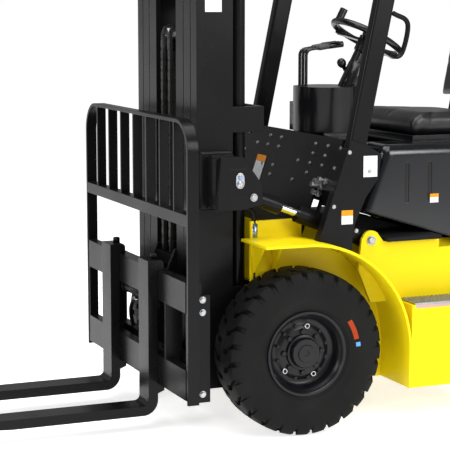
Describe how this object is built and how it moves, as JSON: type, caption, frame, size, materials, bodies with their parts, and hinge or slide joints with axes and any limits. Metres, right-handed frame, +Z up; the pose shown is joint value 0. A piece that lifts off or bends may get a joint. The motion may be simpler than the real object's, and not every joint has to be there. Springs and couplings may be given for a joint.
{
  "type": "forklift",
  "caption": "Counterbalance forklift with a three-stage mast, side shifter, tilting mast, steered rear wheels, overhead guard and driver's seat.",
  "frame": {"origin": "on the ground, at the middle of the truck's overall length and width", "axes": "-Y is forwards towards the fork tips, +X is the driver's left, +Z is up"},
  "size_m": [1.1, 3.213, 2.07],
  "materials": {
    "body_paint": "gloss lime-yellow paint",
    "black_paint": "semi-gloss black paint",
    "rim_paint": "semi-gloss black paint",
    "hood_plastic": "gloss moulded black plastic",
    "console_plastic": "satin black plastic",
    "tyre_rubber": "matt black tyre rubber",
    "mat_rubber": "ribbed black rubber",
    "seat_vinyl": "grained black vinyl",
    "zinc_steel": "galvanised steel",
    "chain_steel": "oiled chain steel",
    "chrome_rod": "hard chrome",
    "cast_metal": "painted castings",
    "lamp_lens": "clear and red lenses in black shells"
  },
  "bodies": {
    "chassis": {"frame_body": "body_paint", "counterweight": "body_paint", "overhead_guard": "black_paint", "cowl": "black_paint", "floor_plate": "mat_rubber", "step_plates": "zinc_steel", "drive_axle": "cast_metal", "steer_axle": "cast_metal", "engine_block": "cast_metal", "lever_console": "console_plastic", "steering_column": "console_plastic", "pedals": "mat_rubber", "lamps": "lamp_lens"},
    "hood_seat": {"hood": "hood_plastic", "seat_frame": "console_plastic", "seat_cushion": "seat_vinyl", "seat_back": "seat_vinyl"},
    "steering_wheel": {"steering_wheel": "console_plastic"},
    "outer_mast": {"outer_mast": "black_paint", "side_lift_barrels": "black_paint", "stage_chain_rise": "chain_steel"},
    "middle_mast": {"middle_mast": "black_paint", "side_lift_rods": "chrome_rod"},
    "inner_mast": {"inner_mast": "black_paint", "free_lift_barrel": "black_paint", "stage_chain_fall": "chain_steel", "lift_chain_rise": "chain_steel"},
    "lift_head": {"lift_head": "chrome_rod"},
    "carriage": {"carriage": "black_paint", "lift_chain_fall": "chain_steel"},
    "side_shifter": {"side_shifter": "black_paint", "load_backrest": "black_paint"},
    "fork_left": {"fork_left": "black_paint"},
    "fork_right": {"fork_right": "black_paint"},
    "tilt_barrel_left": {"tilt_barrel_left": "black_paint"},
    "tilt_rod_left": {"tilt_rod_left": "chrome_rod"},
    "wheel_front_left": {"tyre_front_left": "tyre_rubber", "rim_front_left": "rim_paint"},
    "knuckle_left": {"knuckle_left": "cast_metal"},
    "wheel_rear_left": {"tyre_rear_left": "tyre_rubber", "rim_rear_left": "rim_paint"},
    "tilt_barrel_right": {"tilt_barrel_right": "black_paint"},
    "tilt_rod_right": {"tilt_rod_right": "chrome_rod"},
    "wheel_front_right": {"tyre_front_right": "tyre_rubber", "rim_front_right": "rim_paint"},
    "knuckle_right": {"knuckle_right": "cast_metal"},
    "wheel_rear_right": {"tyre_rear_right": "tyre_rubber", "rim_rear_right": "rim_paint"}
  },
  "joints": [
    {"name": "mast_tilt", "type": "hinge", "parent": "chassis", "child": "outer_mast", "pos_m": [0, -0.1935, 0.295], "axis": [1, 0, 0], "range_deg": [-6, 6]},
    {"name": "middle_lift", "type": "slide", "parent": "outer_mast", "child": "middle_mast", "axis": [0, 0, 1], "range_m": [0, 1.5], "deforming": ["stage_chain_rise"]},
    {"name": "inner_lift", "type": "slide", "parent": "middle_mast", "child": "inner_mast", "axis": [0, 0, 1], "range_m": [0, 1.5], "deforming": ["stage_chain_fall"]},
    {"name": "head_lift", "type": "slide", "parent": "inner_mast", "child": "lift_head", "axis": [0, 0, 1], "range_m": [0, 0.65], "deforming": ["lift_chain_rise"]},
    {"name": "carriage_lift", "type": "slide", "parent": "lift_head", "child": "carriage", "axis": [0, 0, 1], "range_m": [0, 0.65], "deforming": ["lift_chain_fall"]},
    {"name": "side_shift", "type": "slide", "parent": "carriage", "child": "side_shifter", "axis": [1, 0, 0], "range_m": [-0.1, 0.1]},
    {"name": "fork_left_slide", "type": "slide", "parent": "side_shifter", "child": "fork_left", "axis": [1, 0, 0], "range_m": [-0.096, 0.26]},
    {"name": "fork_right_slide", "type": "slide", "parent": "side_shifter", "child": "fork_right", "axis": [-1, 0, 0], "range_m": [-0.096, 0.26]},
    {"name": "hood_open", "type": "hinge", "parent": "chassis", "child": "hood_seat", "pos_m": [0, 0.8905, 1.008], "axis": [-1, 0, 0], "range_deg": [0, 40]},
    {"name": "steer_left", "type": "hinge", "parent": "chassis", "child": "knuckle_left", "pos_m": [0.35, 1.2065, 0.232], "axis": [0, 0, 1], "range_deg": [-65, 65]},
    {"name": "steer_right", "type": "hinge", "parent": "chassis", "child": "knuckle_right", "pos_m": [-0.35, 1.2065, 0.232], "axis": [0, 0, 1], "range_deg": [-65, 65]},
    {"name": "steering_wheel_turn", "type": "hinge", "parent": "chassis", "child": "steering_wheel", "pos_m": [0, 0.3005, 1.378], "axis": [0, 0.4695, 0.8829], "range_deg": [-815, 815]},
    {"name": "front_wheel_left", "type": "hinge", "parent": "chassis", "child": "wheel_front_left", "pos_m": [0.445, -0.1935, 0.295], "axis": [1, 0, 0], "continuous": true},
    {"name": "rear_wheel_left", "type": "hinge", "parent": "knuckle_left", "child": "wheel_rear_left", "pos_m": [0.46, 1.2065, 0.232], "axis": [1, 0, 0], "continuous": true},
    {"name": "tilt_barrel_left_swing", "type": "hinge", "parent": "chassis", "child": "tilt_barrel_left", "pos_m": [0.362, 0.1065, 0.665], "axis": [1, 0, 0], "range_deg": [-5, 5]},
    {"name": "tilt_rod_left_slide", "type": "slide", "parent": "tilt_barrel_left", "child": "tilt_rod_left", "axis": [0, -0.9306, 0.366], "range_m": [-0.06, 0.06]},
    {"name": "front_wheel_right", "type": "hinge", "parent": "chassis", "child": "wheel_front_right", "pos_m": [-0.445, -0.1935, 0.295], "axis": [1, 0, 0], "continuous": true},
    {"name": "rear_wheel_right", "type": "hinge", "parent": "knuckle_right", "child": "wheel_rear_right", "pos_m": [-0.46, 1.2065, 0.232], "axis": [1, 0, 0], "continuous": true},
    {"name": "tilt_barrel_right_swing", "type": "hinge", "parent": "chassis", "child": "tilt_barrel_right", "pos_m": [-0.362, 0.1065, 0.665], "axis": [1, 0, 0], "range_deg": [-5, 5]},
    {"name": "tilt_rod_right_slide", "type": "slide", "parent": "tilt_barrel_right", "child": "tilt_rod_right", "axis": [0, -0.9306, 0.366], "range_m": [-0.06, 0.06]}
  ],
  "couplings": [
    {"joint": "inner_lift", "follows": "middle_lift", "ratio": 1},
    {"joint": "head_lift", "follows": "carriage_lift", "ratio": 1},
    {"joint": "steer_right", "follows": "steer_left", "ratio": 1},
    {"joint": "steering_wheel_turn", "follows": "steer_left", "ratio": -12.5},
    {"joint": "tilt_barrel_left_swing", "follows": "mast_tilt", "ratio": 0.703},
    {"joint": "tilt_rod_left_slide", "follows": "mast_tilt", "m_per_rad": 0.454},
    {"joint": "tilt_barrel_right_swing", "follows": "mast_tilt", "ratio": 0.703},
    {"joint": "tilt_rod_right_slide", "follows": "mast_tilt", "m_per_rad": 0.454}
  ]
}
